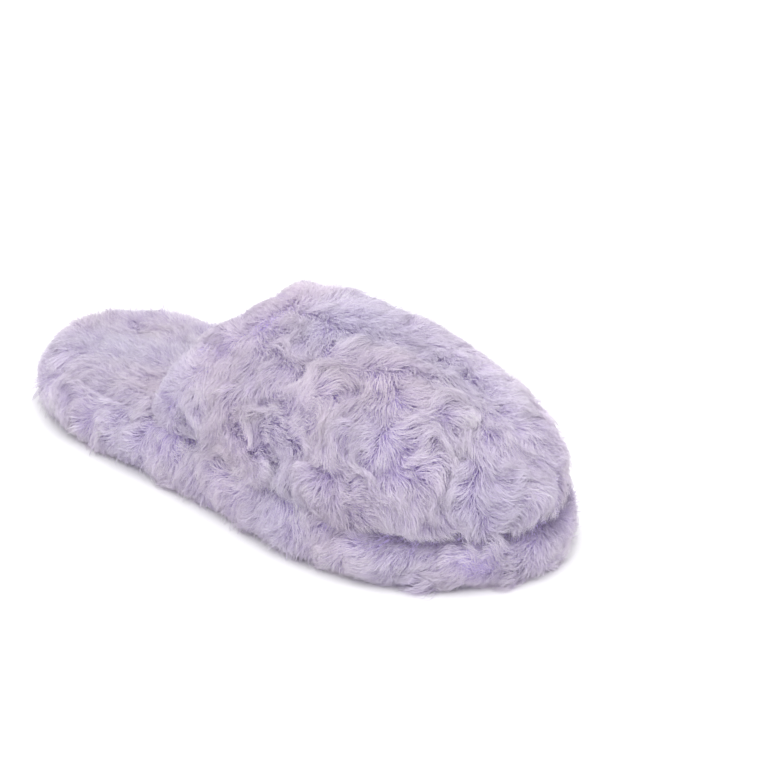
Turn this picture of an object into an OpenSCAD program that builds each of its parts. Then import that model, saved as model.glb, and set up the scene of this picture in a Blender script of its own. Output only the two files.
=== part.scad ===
// Open-heel house slipper (mule), right foot, long-pile fabric all over.
// Millimetres. X runs from the heel to the toe, Y to the inner (big toe) side,
// Z up. The origin is the middle of the footprint, on the ground.
// Slip-lasted build: upper, sock and platform wrap are sewn together in one
// seam round the feather line, and the wrap is drawn down round the midsole and
// turned under it before the outsole is bonded on.

/* [Size over the pile] */
// Heel to toe
slipper_length = 275; // [245:1:305]
// Across the ball of the foot
ball_width = 111; // [102:1:122]
// Across the waist, just behind the mouth of the upper
waist_width = 92; // [84:1:102]
// Across the heel
heel_width = 87; // [78:1:96]
// Across the toe, a twelfth of the length behind the tip
toe_width = 80; // [74:1:92]
// Ground to the seam between platform and upper
seam_height = 25; // [24:1:32]
// Ground to the top of the upper at its mouth
throat_height = 87; // [78:1:100]

/* [Mouth] */
// Heel to the top edge of the mouth, as a share of the length
mouth_top = 0.482; // [0.42:0.005:0.55]
// Heel to the lower corners of the mouth, as a share of the length
mouth_side = 0.338; // [0.33:0.002:0.36]

/* [Sole layers] */
// Outsole, rubber
outsole_t = 4; // [3:0.5:6]
// Insole board
board_t = 1.5; // [1:0.1:2]
// Footbed foam
foam_t = 6.4; // [4:0.2:7]
// Sock: backing and pile together
sock_t = 5.6; // [3:0.2:7]

/* [Fabric] */
// Outer pile fabric
fur_t = 7; // [5:0.5:8]
// Foam interlining
interlining_t = 2; // [1:0.5:3]
// Plush lining
lining_t = 3.6; // [2:0.2:4]
// Sewing thread
thread_d = 0.5; // [0.3:0.05:0.6]

/* [Tread] */
// Distance between grooves
groove_pitch = 9; // [7:0.5:14]
// Groove width
groove_w = 2.6; // [1.5:0.1:4]
// Groove depth
groove_d = 1.5; // [0.8:0.1:2]

/* [Flex] */
// Heel to the line the sole bends at, as a share of the length
flex_at = 0.309; // [0.3:0.001:0.32]
// Furthest the heel bends up, degrees
flex_max = 40; // [20:1:45]

/* [Hidden] */
// x of a place given as a share of the length from the heel
function along(share) = (share - 0.5) * slipper_length;

gap = 0.2; // between neighbouring pieces
layer_gap = 0.05; // between stacked sole layers
flex_x = along(flex_at);
mouth_top_x = along(mouth_top);
mouth_corner_x = along(mouth_side);

// depths in from the pile surface
core_in = 9.6; // edge of the sole layers
wrap_in = 9.2; // the wrap's inner face
seat_in = 4.8; // the upper's foot, in from the platform's bulge
// depths in from the upper's outer surface
interlining_in = fur_t + gap;
lining_in = interlining_in + interlining_t + gap;
walls_t = lining_in + lining_t;

margin_t = 1; // lasting margin turned under the midsole
margin_w = 9; // its reach in from the edge of the sole layers
midsole_z = outsole_t + 2 * layer_gap;
sock_z = seam_height - 0.9;
board_z = sock_z - 2 * layer_gap - foam_t - board_t;
foam_z = board_z + board_t + layer_gap;

lilac = [0.78, 0.73, 0.83];
lilac_shade = [0.70, 0.64, 0.77];
plush = [0.82, 0.77, 0.86];
rubber = [0.60, 0.55, 0.66];
midsole_white = [0.93, 0.92, 0.94];
board_tan = [0.78, 0.70, 0.58];
foam_cream = [0.95, 0.94, 0.90];
interlining_grey = [0.93, 0.92, 0.90];
tape_pale = [0.9, 0.88, 0.92];

// ---- footprint -------------------------------------------------------------

// [share of the length, full width, shift toward the inner side], heel to toe
stations = [
    [0.014, heel_width * 0.345, 2.4],
    [0.055, heel_width * 0.70, 2.6],
    [0.164, heel_width, 2.2],
    [flex_at, waist_width, 1.4],
    [0.491, (waist_width + ball_width) / 2 - 1.5, 0.6],
    [0.655, ball_width, 0],
    [0.800, ball_width * 0.945, 0.4],
    [0.916, toe_width, 5.6],
    [0.974, toe_width * 0.57, 7.0]];
last_station = len(stations) - 1;

// closed ring of control points: heel tip, outer side, toe tip, inner side
ring = concat(
    [[-slipper_length / 2, stations[0][2]]],
    [for (s = stations) [along(s[0]), s[2] - s[1] / 2]],
    [[slipper_length / 2, stations[last_station][2]]],
    [for (i = [last_station:-1:0]) let (s = stations[i]) [along(s[0]), s[2] + s[1] / 2]]);
ring_size = len(ring);
ring_steps = 8; // outline points from one control point to the next

// ring positions of the bending line, on the outer and the inner side
flex_outer = 4;
flex_inner = ring_size - flex_outer;

function ring_point(i) = ring[(i + 2 * ring_size) % ring_size];
// Catmull-Rom curve from p1 to p2
function spline(p0, p1, p2, p3, t) =
    0.5 * (2 * p1 + (p2 - p0) * t + (2 * p0 - 5 * p1 + 4 * p2 - p3) * t * t
        + (3 * p1 - p0 - 3 * p2 + p3) * t * t * t);
// point on the footprint at ring position pos, 0 to ring_size
function foot_at(pos) = let (i = floor(pos))
    spline(ring_point(i - 1), ring_point(i), ring_point(i + 1), ring_point(i + 2), pos - i);
function outward(pos) = let (
    step = 0.02,
    tangent = foot_at(pos + step) - foot_at(pos - step),
    normal = [tangent[1], -tangent[0]])
    normal / norm(normal);
function inset_at(pos, depth) = foot_at(pos) - depth * outward(pos);
// the same, but straight across at the bending line, so cut faces are flat
function cross_at(pos, depth) = let (
    distance = min(abs(pos - flex_outer), abs(pos - flex_inner),
        abs(pos - flex_inner + ring_size)),
    blend = max(0, 1 - distance * 2),
    normal = outward(pos),
    turned = [normal[0] * (1 - blend), normal[1]])
    foot_at(pos) - depth * turned / norm(turned);

function footprint(depth) =
    [for (k = [0:ring_size * ring_steps - 1]) inset_at(k / ring_steps, depth)];

module sole_plate(depth, z, thickness) {
    translate([0, 0, z])
        linear_extrude(height = thickness)
            polygon(footprint(depth));
}

// ---- bending line ----------------------------------------------------------

cut_h = 60; // height of the cutting blocks
cut_below = 1; // their reach below the ground

// wedge that makes a cut face lean away from the bending line above the seam
// by half the bend; side is 1 for the front, -1 for the rear
module lean(side) {
    angle = flex_max / 2 + 1;
    overlap = 5;
    translate([flex_x, 0, seam_height])
        rotate([90, 0, 0])
            linear_extrude(height = slipper_length, center = true)
                polygon([[0, 0], [side * cut_h * tan(angle), cut_h],
                    [-side * overlap, cut_h], [-side * overlap, 0]]);
}
module rear_side() {
    difference() {
        translate([-slipper_length, -slipper_length / 2, -cut_below])
            cube([slipper_length + flex_x - gap / 2, slipper_length, cut_h]);
        lean(-1);
    }
}
module front_side() {
    difference() {
        translate([flex_x + gap / 2, -slipper_length / 2, -cut_below])
            cube([slipper_length, slipper_length, cut_h]);
        lean(1);
    }
}
module front_half() {
    intersection() {
        children();
        front_side();
    }
}
module rear_half() {
    intersection() {
        children();
        rear_side();
    }
}

// ---- mesh helpers ----------------------------------------------------------

// two triangles on four corners, split from the first to the third
function quad(v, flip = false) = flip
    ? [[v[0], v[2], v[1]], [v[0], v[3], v[2]]]
    : [[v[0], v[1], v[2]], [v[0], v[2], v[3]]];
// side faces of a sweep whose sections each have the given number of corners
function sweep_skin(spans, corners, flip) =
    [for (i = [0:spans - 1]) for (k = [0:corners - 1]) let (
        here = i * corners + k,
        beside = i * corners + (k + 1) % corners)
        each quad([here, beside, beside + corners, here + corners], flip)];

// thread swept along a path, as a closed tube
module tube(path, diameter) {
    last = len(path) - 1;
    facets = 6;
    function along_path(i) = let (chord = path[min(last, i + 1)] - path[max(0, i - 1)])
        chord / norm(chord);
    function side_of(i) = let (across = cross(along_path(i), [0, 0, 1]))
        norm(across) < 0.05 ? [1, 0, 0] : across / norm(across);
    function up_of(i) = cross(side_of(i), along_path(i));
    points = [for (i = [0:last]) for (k = [0:facets - 1]) let (angle = k * 360 / facets)
        path[i] + diameter / 2 * (cos(angle) * side_of(i) + sin(angle) * up_of(i))];
    end = last * facets;
    caps = [for (k = [1:facets - 2]) each [[0, k, k + 1], [end, end + k + 1, end + k]]];
    polyhedron(points = points, faces = concat(sweep_skin(last, facets, true), caps));
}

// ---- outsole ---------------------------------------------------------------

tread_in = core_in + 5; // edge of the cross grooves
rim_groove_in = [core_in + 3.2, core_in + 5.4]; // groove round the edge
first_groove = 20; // from the heel
last_groove = 18; // at least this far from the toe

module tread_depth() {
    translate([0, 0, -cut_below])
        linear_extrude(height = cut_below + groove_d)
            children();
}
module tread() {
    // cross grooves, left out at the bending line
    intersection() {
        tread_depth() polygon(footprint(tread_in));
        union() {
            for (x = [-slipper_length / 2 + first_groove
                    :groove_pitch
                    :slipper_length / 2 - last_groove])
                if (abs(x - flex_x) > groove_w)
                    translate([x, 0, -1])
                        cube([groove_w, slipper_length, 20], center = true);
        }
    }
    tread_depth() difference() {
        polygon(footprint(rim_groove_in[0]));
        polygon(footprint(rim_groove_in[1]));
    }
}
module outsole() {
    difference() {
        sole_plate(core_in, 0, outsole_t);
        tread();
    }
}
module outsole_front() color(rubber) front_half() outsole();
module outsole_rear() color(rubber) rear_half() outsole();

// ---- midsole, board and foam -----------------------------------------------

// the rim is raised by the thickness of the lasting margin tucked under it
module midsole() {
    rim_z = midsole_z + margin_t + 0.1;
    sole_plate(core_in + margin_w + 1, midsole_z, margin_t + 0.4);
    sole_plate(core_in, rim_z, board_z - layer_gap - rim_z);
}
module midsole_front() color(midsole_white) front_half() midsole();
module midsole_rear() color(midsole_white) rear_half() midsole();

module insole_board() sole_plate(core_in + 1, board_z, board_t);
module insole_board_front() color(board_tan) front_half() insole_board();
module insole_board_rear() color(board_tan) rear_half() insole_board();

module footbed_foam() sole_plate(core_in, foam_z, foam_t);
module footbed_foam_front() color(foam_cream) front_half() footbed_foam();
module footbed_foam_rear() color(foam_cream) rear_half() footbed_foam();

// ---- sock ------------------------------------------------------------------

backing_t = 1.2;
pile_from = 1; // the pile starts this far up, inside the backing

module sock() {
    // backing, out to the seam
    sole_plate(core_in, sock_z, backing_t);
    // pile: full width on the heel, inside the upper's walls in front of it
    intersection() {
        sole_plate(core_in, sock_z + pile_from, sock_t - pile_from);
        translate([-slipper_length, -slipper_length / 2, 0])
            cube([slipper_length + mouth_corner_x - 1, slipper_length, cut_h]);
    }
    sole_plate(seat_in + walls_t + 2, sock_z + pile_from, sock_t - pile_from);
}
module sock_fur_front() color(plush) front_half() sock();
module sock_fur_rear() color(plush) rear_half() sock();

// ---- platform wrap ---------------------------------------------------------

// cross-section of the wrap: [distance in from the pile surface, height];
// down the bulging outside, under the midsole, back up the inside
margin_z = outsole_t + layer_gap;
wrap_top = seam_height - 0.4;
wrap_section = [
    [7.2, wrap_top],
    [4.2, seam_height * 0.93],
    [1.6, seam_height * 0.78],
    [0.3, seam_height * 0.60],
    [0, seam_height * 0.45],
    [0.6, seam_height * 0.26],
    [2.2, seam_height * 0.12],
    [4.6, 1.6],
    [8.2, 1.0],
    [core_in - gap, 1.2],
    [core_in - gap, margin_z],
    [core_in + margin_w, margin_z],
    [core_in + margin_w, margin_z + margin_t],
    [wrap_in, margin_z + margin_t],
    [wrap_in, seam_height * 0.62],
    [wrap_in, wrap_top]];
// triangles that fill the section, as indices into it
section_fill = [
    [15, 1, 0], [15, 2, 1], [14, 2, 15], [14, 3, 2], [14, 4, 3], [14, 5, 4], [13, 5, 14],
    [13, 6, 5], [10, 6, 13], [10, 7, 6], [10, 8, 7], [10, 9, 8], [13, 12, 10], [12, 11, 10]];

// the section swept along the footprint between two ring positions
module band(from, to) {
    spans = (to - from) * ring_steps;
    corners = len(wrap_section);
    end = spans * corners;
    points = [for (i = [0:spans]) for (s = wrap_section)
        let (p = cross_at(from + (to - from) * i / spans, s[0])) [p[0], p[1], s[1]]];
    start_cap = section_fill;
    end_cap = [for (t = section_fill) [end + t[2], end + t[1], end + t[0]]];
    polyhedron(points = points,
        faces = concat(sweep_skin(spans, corners, false), start_cap, end_cap));
}

module wrap_fur_front() color(lilac_shade)
    translate([gap / 2, 0, 0]) band(flex_outer, flex_inner);
module wrap_fur_rear() color(lilac_shade)
    translate([-gap / 2, 0, 0]) band(flex_inner - ring_size, flex_outer);

// tape over the butt seam where the wrap's two ends meet at the heel
module wrap_join_tape() color(tape_pale) {
    half_steps = 10;
    step = 0.08; // in ring positions
    face_in = wrap_in + 0.1;
    back_in = wrap_in + 0.32;
    translate([0, 0, seam_height * 0.27])
        linear_extrude(height = seam_height * 0.36)
            polygon(concat(
                [for (i = [-half_steps:half_steps]) inset_at(i * step, face_in)],
                [for (i = [half_steps:-1:-half_steps]) inset_at(i * step, back_in)]));
}

// ---- upper -----------------------------------------------------------------

tip_x = slipper_length / 2 - seat_in;
base_z = seam_height + 0.4;
shell_rings = 24; // from the mouth to the toe
arc_steps = 30; // round each ring
// exponents and slope that shape the surface
toe_fullness = 2.45;
toe_drop = 0.42;
rear_rise = 0.42; // slope of the crown behind the top of the mouth
side_power = 0.88;
arch_power = 0.79;
mouth_power = 1.16;
ring_crowding = 1.9; // draws the rings together toward the toe

// outer and inner side of the upper's foot at a layer depth, sorted by x, for
// looking a width up
function sides(depth) = let (
    detail = 12,
    count = ring_size / 2 * detail)
    [[for (k = [0:count]) inset_at(k / detail, seat_in + depth)],
     [for (k = [0:count]) inset_at(ring_size - k / detail, seat_in + depth)]];

// height of the crown above the upper's foot at x
function crown(x, depth) = let (
    share = (x - mouth_top_x) / (tip_x - depth - mouth_top_x),
    height = throat_height - base_z - depth)
    share >= 0
        ? height * pow(max(0, 1 - pow(min(share, 1), toe_fullness)), toe_drop)
        : height * (1 - rear_rise * share);
// x of the mouth edge at an angle round the section, 0 outer side, 180 inner
function mouth(angle) =
    mouth_corner_x + (mouth_top_x - mouth_corner_x) * pow(max(0, sin(angle)), mouth_power);
// surface point: share of the way from the mouth to the toe tip, angle, layer
// depth with its sides, start set forward from the mouth edge by setback
function upper_at(share, angle, depth, edges, setback) = let (
    start = mouth(angle) + setback,
    x = start + share * (tip_x - depth - start),
    outer = lookup(x, edges[0]),
    inner = lookup(x, edges[1]),
    across = sign(cos(angle)) * pow(abs(cos(angle)), side_power))
    [x,
     (inner + outer) / 2 - (inner - outer) / 2 * across,
     base_z + crown(x, depth) * pow(max(0, sin(angle)), arch_power)];
function ease(i) = 1 - pow(1 - i / shell_rings, ring_crowding);

// a layer between two depths; its mouth edge is set back, its rim rounded
module shell(outer, inner, setback, rounding) {
    bevel = (inner - outer) * 0.22;
    rim_outer = outer + bevel;
    rim_inner = inner - bevel;
    rim_setback = setback + rounding * 0.25;
    outer_sides = sides(outer);
    inner_sides = sides(inner);
    rim_outer_sides = sides(rim_outer);
    rim_inner_sides = sides(rim_inner);
    // chain at one angle: outer surface from the toe tip to the mouth, round
    // the rim, inner surface back to the tip
    last = 2 * shell_rings + 3;
    function link(k, angle) =
        k <= shell_rings
            ? upper_at(ease(shell_rings - k), angle, outer, outer_sides, setback + rounding) :
        k == shell_rings + 1
            ? upper_at(0, angle, rim_outer, rim_outer_sides, rim_setback) :
        k == shell_rings + 2
            ? upper_at(0, angle, rim_inner, rim_inner_sides, rim_setback) :
        upper_at(ease(k - shell_rings - 3), angle, inner, inner_sides, setback + rounding);
    // points: the two shared tips, then every chain without its tips
    points = concat(
        [link(0, 0), link(last, 0)],
        [for (j = [0:arc_steps]) for (k = [1:last - 1]) link(k, 180 * j / arc_steps)]);
    function id(k, j) = k == 0 ? 0 : k == last ? 1 : 2 + j * (last - 1) + k - 1;
    skin = [for (j = [0:arc_steps - 1]) for (k = [0:last - 1])
        let (v = [id(k, j), id(k + 1, j), id(k + 1, j + 1), id(k, j + 1)])
        each (k == 0 ? [[v[0], v[1], v[2]]]
            : k == last - 1 ? [[v[0], v[1], v[3]]]
            : quad(v))];
    foot = [for (j = [0, arc_steps]) for (k = [0:shell_rings])
        each quad([id(k, j), id(k + 1, j), id(last - k - 1, j), id(last - k, j)], j == 0)];
    polyhedron(points = points, faces = concat(skin, foot));
}

module upper_fur() color(lilac)
    shell(outer = 0, inner = fur_t, setback = 0, rounding = 3);
module upper_foam() color(interlining_grey)
    shell(outer = interlining_in, inner = interlining_in + interlining_t,
        setback = 9, rounding = 0.4);
module upper_lining() color(plush)
    shell(outer = lining_in, inner = walls_t, setback = 1.5, rounding = 1.2);

// ---- topline ---------------------------------------------------------------

tape_in = interlining_in + 0.3;
tape_t = 1;
tape_span = [4.4, 8.6]; // in front of the mouth edge

module topline_tape() color(tape_pale) {
    spans = 2 * arc_steps;
    end = spans * 4;
    inner = tape_in + tape_t;
    outer_sides = sides(tape_in);
    inner_sides = sides(inner);
    // [depth, sides, setback]
    corners = [
        [tape_in, outer_sides, tape_span[0]],
        [tape_in, outer_sides, tape_span[1]],
        [inner, inner_sides, tape_span[1]],
        [inner, inner_sides, tape_span[0]]];
    points = [for (j = [0:spans]) for (c = corners)
        upper_at(0, 180 * j / spans, c[0], c[1], c[2])];
    caps = concat(quad([0, 1, 2, 3]), quad([end, end + 1, end + 2, end + 3], true));
    polyhedron(points = points, faces = concat(sweep_skin(spans, 4, true), caps));
}

// closes fur, tape and lining together just in front of the mouth edge
module topline_thread() color(lilac_shade) {
    depth = tape_in + tape_t / 2;
    edges = sides(depth);
    spans = 80;
    tube([for (j = [1:spans - 1]) upper_at(0, 180 * j / spans, depth, edges, 2.9)], thread_d);
}

// ---- feather seam ----------------------------------------------------------

// lies between the top edge of the wrap and the upper's foot
thread_z = seam_height - 0.06;
thread_in = 8.1;
end_gap = 0.05; // left free at each end, in ring positions

module seam_thread(from, to, spans) {
    tube([for (i = [0:spans])
        let (p = cross_at(from + end_gap + (to - from - 2 * end_gap) * i / spans, thread_in))
        [p[0], p[1], thread_z]], thread_d);
}
module seam_thread_front() color(lilac_shade) seam_thread(flex_outer, flex_inner, 86);
module seam_thread_rear() color(lilac_shade)
    seam_thread(flex_inner - ring_size, flex_outer, 60);

// ---- parts -----------------------------------------------------------------

outsole_front();
outsole_rear();
midsole_front();
midsole_rear();
insole_board_front();
insole_board_rear();
footbed_foam_front();
footbed_foam_rear();
sock_fur_front();
sock_fur_rear();
wrap_fur_front();
wrap_fur_rear();
wrap_join_tape();
upper_fur();
upper_foam();
upper_lining();
topline_tape();
topline_thread();
seam_thread_front();
seam_thread_rear();
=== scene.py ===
"""An open-heeled slipper with a lilac pile upper, a pile-wrapped platform and a flat rubber sole.

The heel points to -x and the toe to +x, the outer side of the foot is -y, the inner side +y, and
the sole stands on z = 0. Sizes are in millimetres; add_mesh and thick_shell turn them into metres.
"""
import functools
import math

import bmesh
import bpy
import numpy as np
from mathutils import Matrix, Vector
from mathutils.bvhtree import BVHTree
from mathutils.kdtree import KDTree


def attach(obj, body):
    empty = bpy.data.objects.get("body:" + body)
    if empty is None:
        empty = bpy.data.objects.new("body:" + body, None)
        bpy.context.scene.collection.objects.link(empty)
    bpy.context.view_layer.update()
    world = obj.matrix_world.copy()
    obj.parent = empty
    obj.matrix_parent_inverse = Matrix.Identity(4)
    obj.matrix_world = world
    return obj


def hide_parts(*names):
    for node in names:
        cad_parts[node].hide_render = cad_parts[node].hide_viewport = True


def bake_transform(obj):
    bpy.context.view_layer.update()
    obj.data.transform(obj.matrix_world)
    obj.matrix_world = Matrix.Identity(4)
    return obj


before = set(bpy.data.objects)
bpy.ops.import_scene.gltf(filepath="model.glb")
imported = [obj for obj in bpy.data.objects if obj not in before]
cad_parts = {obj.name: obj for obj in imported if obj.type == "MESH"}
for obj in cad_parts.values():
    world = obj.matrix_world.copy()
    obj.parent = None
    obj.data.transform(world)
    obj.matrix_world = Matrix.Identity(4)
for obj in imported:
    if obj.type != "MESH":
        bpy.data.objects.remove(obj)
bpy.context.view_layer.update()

MM = 0.001
DENSITY = 1.0  # share of the strands that is made

# ---------------------------------------------------------------------------
# Footprint and upper surface
# ---------------------------------------------------------------------------
LENGTH, BALL, WAIST, HEEL, TOE = 275.0, 111.0, 92.0, 87.0, 80.0
PLATFORM_Z, THROAT_Z = 25.0, 87.0
BASE_Z = PLATFORM_Z + 0.4  # foot of the upper
SEAT_IN = 4.8              # the upper stands this far in from the footprint
CORE_IN = 9.6              # and the sole plates this far

WAIST_AT = 0.309
# place along the length (0 heel, 1 toe), width, centre y
STATIONS = [
    (0.014, HEEL * 0.345, 2.4), (0.055, HEEL * 0.70, 2.6), (0.164, HEEL, 2.2),
    (WAIST_AT, WAIST, 1.4), (0.491, (WAIST + BALL) / 2 - 1.5, 0.6), (0.655, BALL, 0.0),
    (0.8, BALL * 0.945, 0.4), (0.916, TOE, 5.6), (0.974, TOE * 0.57, 7.0)]


def along(part):
    return (part - 0.5) * LENGTH


# Control points from the heel along the outer side to the toe and back along the inner side
RING = np.array(
    [(along(0), 2.4)] + [(along(s), mid - w / 2) for s, w, mid in STATIONS]
    + [(along(1), 7.0)] + [(along(s), mid + w / 2) for s, w, mid in STATIONS[::-1]])
RING_COUNT = len(RING)
WAIST_X = along(WAIST_AT)
MOUTH_SIDE_X, MOUTH_TOP_X = along(0.338), along(0.482)
TIP_X = LENGTH / 2 - SEAT_IN


def foot(u):
    """Points of the footprint, a Catmull-Rom curve; u counts control points."""
    u = np.asarray(u, float)
    i = np.floor(u).astype(int)
    t = (u - i)[..., None]
    before, start, end, after = (RING[(i + k) % RING_COUNT] for k in (-1, 0, 1, 2))
    return 0.5 * (2 * start + (end - before) * t
                  + (2 * before - 5 * start + 4 * end - after) * t ** 2
                  + (3 * start - before - 3 * end + after) * t ** 3)


def outward(u):
    step = foot(np.asarray(u) + 0.02) - foot(np.asarray(u) - 0.02)
    normal = np.stack([step[..., 1], -step[..., 0]], -1)
    return normal / np.linalg.norm(normal, axis=-1, keepdims=True)


def inset(u, depth):
    return foot(u) - depth * outward(u)


@functools.lru_cache(maxsize=None)
def sides(depth):
    """Outer and inner edge of the footprint moved in by depth, as (x, y) tables sorted by x."""
    u = np.linspace(0, RING_COUNT / 2, 400)
    return inset(u, depth), inset(RING_COUNT - u, depth)


def edges(x, depth):
    """y of the outer and the inner edge at x."""
    outer, inner = sides(depth)
    return np.interp(x, outer[:, 0], outer[:, 1]), np.interp(x, inner[:, 0], inner[:, 1])


def ends(depth):
    """x of the heel and the toe end."""
    return sides(depth)[0][[0, -1], 0]


def edge_distance(x, y, depth):
    outer, inner = edges(x, depth)
    heel, toe = ends(depth)
    return np.minimum.reduce([y - outer, inner - y, x - heel, toe - x])


def crown(x, depth):
    """Height of the upper's ridge above BASE_Z."""
    u = (x - MOUTH_TOP_X) / (TIP_X - depth - MOUTH_TOP_X)
    height = THROAT_Z - BASE_Z - depth
    rounded = height * np.maximum(0, 1 - np.clip(u, 0, 1) ** 2.45) ** 0.42
    return np.where(u >= 0, rounded, height * (1 - 0.42 * u))


def mouth(angle):
    return MOUTH_SIDE_X + (MOUTH_TOP_X - MOUTH_SIDE_X) * np.maximum(0, np.sin(angle)) ** 1.16


def upper_at(s, angle, depth, back):
    """Points on the upper: s from mouth 0 to toe 1, angle round the section from 0 (outer side)
    to pi, depth under the outside, back = set toward the toe from the mouth."""
    s, angle, back = np.broadcast_arrays(
        np.asarray(s, float), np.asarray(angle, float), np.asarray(back, float))
    start = mouth(angle) + back
    x = start + s * (TIP_X - depth - start)
    outer, inner = edges(x, SEAT_IN + depth)
    cos = np.cos(angle)
    y = (inner + outer) / 2 - (inner - outer) / 2 * np.sign(cos) * np.abs(cos) ** 0.88
    z = BASE_Z + crown(x, depth) * np.maximum(0, np.sin(angle)) ** 0.79
    return np.stack([x, y, z], -1)


# ---------------------------------------------------------------------------
# Number helpers
# ---------------------------------------------------------------------------
def smooth(x, start, end):
    """0 at start to 1 at end, eased at both."""
    t = np.clip((x - start) / (end - start), 0, 1)
    return t * t * (3 - 2 * t)


def ease(count, power):
    """0 to 1, closer together toward 1."""
    return 1 - (1 - np.linspace(0, 1, count)) ** power


def cosine_spread(low, high, count, reach):
    """Places closer together toward both ends, scaled about the middle by reach."""
    t = np.linspace(0, math.pi, count)
    return (low + high) / 2 - (high - low) / 2 * np.cos(t) * reach


def cosine_parts(count):
    return (1 - np.cos(np.linspace(0, math.pi, count))) / 2


def unit(v):
    return v / np.maximum(np.linalg.norm(v, axis=-1, keepdims=True), 1e-9)


def constant(value):
    """A map that gives the same value at every place."""
    return lambda places, *_: np.full(places.shape[:-1], value)


def noise_field(seed, count, shortest, longest):
    """Smooth random field of position: count waves with wavelengths in mm."""
    rng = np.random.default_rng(seed)
    waves = rng.normal(size=(count, 3))
    waves /= np.linalg.norm(waves, axis=-1, keepdims=True)
    waves *= (2 * math.pi / rng.uniform(shortest, longest, size=count))[:, None]
    phase = rng.uniform(0, 2 * math.pi, size=count)
    return lambda p: np.sin(p @ waves.T + phase).sum(-1) * math.sqrt(2.0 / count)


band_noise = noise_field(3, 14, 18, 40)
len_noise = noise_field(41, 16, 9, 26)
lift_noise = noise_field(42, 16, 10, 30)
tone_noise = noise_field(43, 14, 20, 60)
warm_noise = noise_field(44, 10, 30, 90)
turn_big = noise_field(45, 20, 22, 46)
turn_small = noise_field(46, 20, 8, 15)
pit_noise = noise_field(47, 26, 9, 21)


# ---------------------------------------------------------------------------
# Mesh helpers
# ---------------------------------------------------------------------------
def link_object(name, data):
    thing = bpy.data.objects.new(name, data)
    bpy.context.collection.objects.link(thing)
    return thing


def add_mesh(name, verts, faces, mat, smooth_faces=True):
    """verts in millimetres, faces an (n, 3) or (n, 4) array."""
    verts = np.asarray(verts, np.float32) * MM
    faces = np.asarray(faces, np.int32)
    mesh = bpy.data.meshes.new(name)
    mesh.vertices.add(len(verts))
    mesh.vertices.foreach_set("co", verts.ravel())
    mesh.loops.add(faces.size)
    mesh.loops.foreach_set("vertex_index", faces.ravel())
    mesh.polygons.add(len(faces))
    starts = np.arange(0, faces.size, faces.shape[1], dtype=np.int32)
    mesh.polygons.foreach_set("loop_start", starts)
    mesh.polygons.foreach_set("use_smooth", np.full(len(faces), smooth_faces))
    mesh.update(calc_edges=True)
    mesh.materials.append(mat)
    return link_object(name, mesh)


def grid_faces(rows, columns, wrap_rows=False, wrap_columns=False):
    """Quads of a grid indexed [row, column]."""
    i, j = np.meshgrid(np.arange(rows if wrap_rows else rows - 1),
                       np.arange(columns if wrap_columns else columns - 1), indexing="ij")
    i, j = i.ravel(), j.ravel()
    i2, j2 = (i + 1) % rows, (j + 1) % columns
    return np.stack([i * columns + j, i2 * columns + j, i2 * columns + j2, i * columns + j2], -1)


def clean(thing, sharp=None, dissolve=False):
    """Turns the faces outward and shades them smooth; sharp is the angle of a hard edge."""
    bm = bmesh.new()
    bm.from_mesh(thing.data)
    if dissolve:
        bmesh.ops.dissolve_degenerate(bm, dist=1e-6, edges=bm.edges)
    bmesh.ops.recalc_face_normals(bm, faces=bm.faces)
    for face in bm.faces:
        face.smooth = True
    if sharp is not None:
        for edge in bm.edges:
            if len(edge.link_faces) == 2 and edge.calc_face_angle(0) > math.radians(sharp):
                edge.smooth = False
    bm.to_mesh(thing.data)
    bm.free()


def plate(name, depth, bottom, top, mat, xs=None, edge_lines=None, nx=90, ny=18):
    """Closed plate inside the footprint moved in by depth.

    bottom and top are numbers or functions of (x, y, distance in from the edge). edge_lines
    are the distances from both edges at which the grid gets a line.
    """
    heel, toe = ends(depth)
    if xs is None:
        xs = cosine_spread(heel, toe, nx, 0.9995)
    xs = np.sort(np.clip(xs, heel + 0.02, toe - 0.02))
    outer, inner = (edge[:, None] for edge in edges(xs, depth))
    width = inner - outer
    if edge_lines is None:
        y = outer + width * cosine_parts(ny)
    else:
        most = 0.30 * width * np.linspace(0, 1, len(edge_lines))
        lines = np.minimum(np.array(edge_lines)[None], most)
        near = outer + lines
        far = (inner - lines)[:, ::-1]
        middle = near[:, -1:] + (far[:, :1] - near[:, -1:]) * np.linspace(0, 1, 9)[1:-1]
        y = np.concatenate([near, middle, far], 1)
    x = np.broadcast_to(xs[:, None], y.shape)
    distance = edge_distance(x, y, depth)
    layers = [np.stack([x, y, z(x, y, distance) if callable(z) else np.full(y.shape, float(z))],
                       -1).reshape(-1, 3) for z in (top, bottom)]
    rows, columns = y.shape
    count = rows * columns
    quads = grid_faces(rows, columns)
    index = np.arange(count).reshape(rows, columns)
    loop = np.concatenate([index[:, 0], index[-1, 1:], index[-2::-1, -1], index[0, -2:0:-1]])
    after = np.roll(loop, -1)
    wall = np.stack([loop, loop + count, after + count, after], -1)
    return add_mesh(name, np.vstack(layers), np.vstack([quads, quads[:, ::-1] + count, wall]), mat)


# ---------------------------------------------------------------------------
# Materials
# ---------------------------------------------------------------------------
def set_inputs(tree, node, values):
    """Sets each input to a value, or links it when the value is a socket."""
    for key, value in values.items():
        if isinstance(value, bpy.types.NodeSocket):
            tree.links.new(value, node.inputs[key])
        else:
            node.inputs[key].default_value = value


def add_node(tree, kind, values=None, **settings):
    node = tree.nodes.new("ShaderNode" + kind)
    for key, value in settings.items():
        setattr(node, key, value)
    set_inputs(tree, node, values or {})
    return node


def new_material(name):
    mat = bpy.data.materials.new(name)
    mat.use_nodes = True
    return mat, mat.node_tree, mat.node_tree.nodes["Principled BSDF"]


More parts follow.
